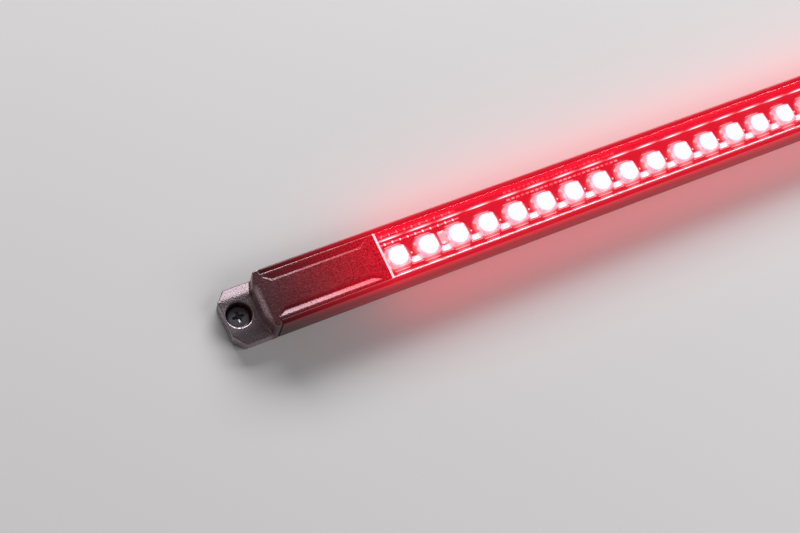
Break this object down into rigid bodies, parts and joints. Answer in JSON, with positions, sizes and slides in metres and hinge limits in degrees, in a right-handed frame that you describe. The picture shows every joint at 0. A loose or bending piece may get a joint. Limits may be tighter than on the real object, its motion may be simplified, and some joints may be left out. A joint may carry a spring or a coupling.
{
  "type": "led light bar",
  "caption": "Slim screw-down LED strip light: U-shaped aluminium profile with an LED board, clear cover and chamfered end caps with mounting ears.",
  "frame": {"origin": "middle of the light's underside, on the plane where it meets the surface that it is screwed to", "axes": "+X along the bar towards the cable outlet, +Y across it, +Z away from the mounting surface, the way the light shines"},
  "size_m": [0.2822, 0.0146, 0.0202],
  "materials": {
    "anodised_aluminium": "dark satin anodised extrusion",
    "clear_polycarbonate": "clear extruded polycarbonate",
    "cap_moulding": "dark grey glass-filled nylon with a fine grain",
    "gasket_rubber": "matt black rubber",
    "clear_silicone": "clear cured silicone",
    "screw_steel": "dark plated steel",
    "board_laminate": "dark solder mask",
    "tape": "pale thermal tape",
    "tinned_copper": "bright tin solder",
    "led_housing": "white moulded housing",
    "led_chip": "red light-giving chip",
    "led_gel": "clear silicone gel, lit red",
    "resistor_ceramic": "black glazed ceramic",
    "lead_red": "red insulation",
    "lead_black": "black insulation"
  },
  "bodies": {
    "light": {"housing_profile": "anodised_aluminium", "clear_cover": "clear_polycarbonate", "end_cap_left": "cap_moulding", "end_cap_right": "cap_moulding", "flange_gasket_left": "gasket_rubber", "flange_gasket_right": "gasket_rubber", "cable_grommet": "gasket_rubber", "end_seal_left": "clear_silicone", "end_seal_right": "clear_silicone", "cover_bond": "clear_silicone", "cap_bond_left": "clear_silicone", "cap_bond_right": "clear_silicone", "circuit_board": "board_laminate", "thermal_tape": "tape", "solder_pads": "tinned_copper", "led_terminals": "tinned_copper", "series_resistor_ends": "tinned_copper", "end_resistor_ends": "tinned_copper", "input_joints": "tinned_copper", "led_packages": "led_housing", "led_chips": "led_chip", "led_gel": "led_gel", "series_resistors": "resistor_ceramic", "end_resistor": "resistor_ceramic", "input_lead_positive": "lead_red", "input_lead_negative": "lead_black"},
    "screw_left": {"mounting_screw_left": "screw_steel"},
    "screw_right": {"mounting_screw_right": "screw_steel"}
  },
  "joints": [
    {"name": "screw_left_out", "type": "slide", "parent": "light", "child": "screw_left", "axis": [0, 0, 1], "range_m": [0, 0.0125]},
    {"name": "screw_right_out", "type": "slide", "parent": "light", "child": "screw_right", "axis": [0, 0, 1], "range_m": [0, 0.0125]}
  ]
}
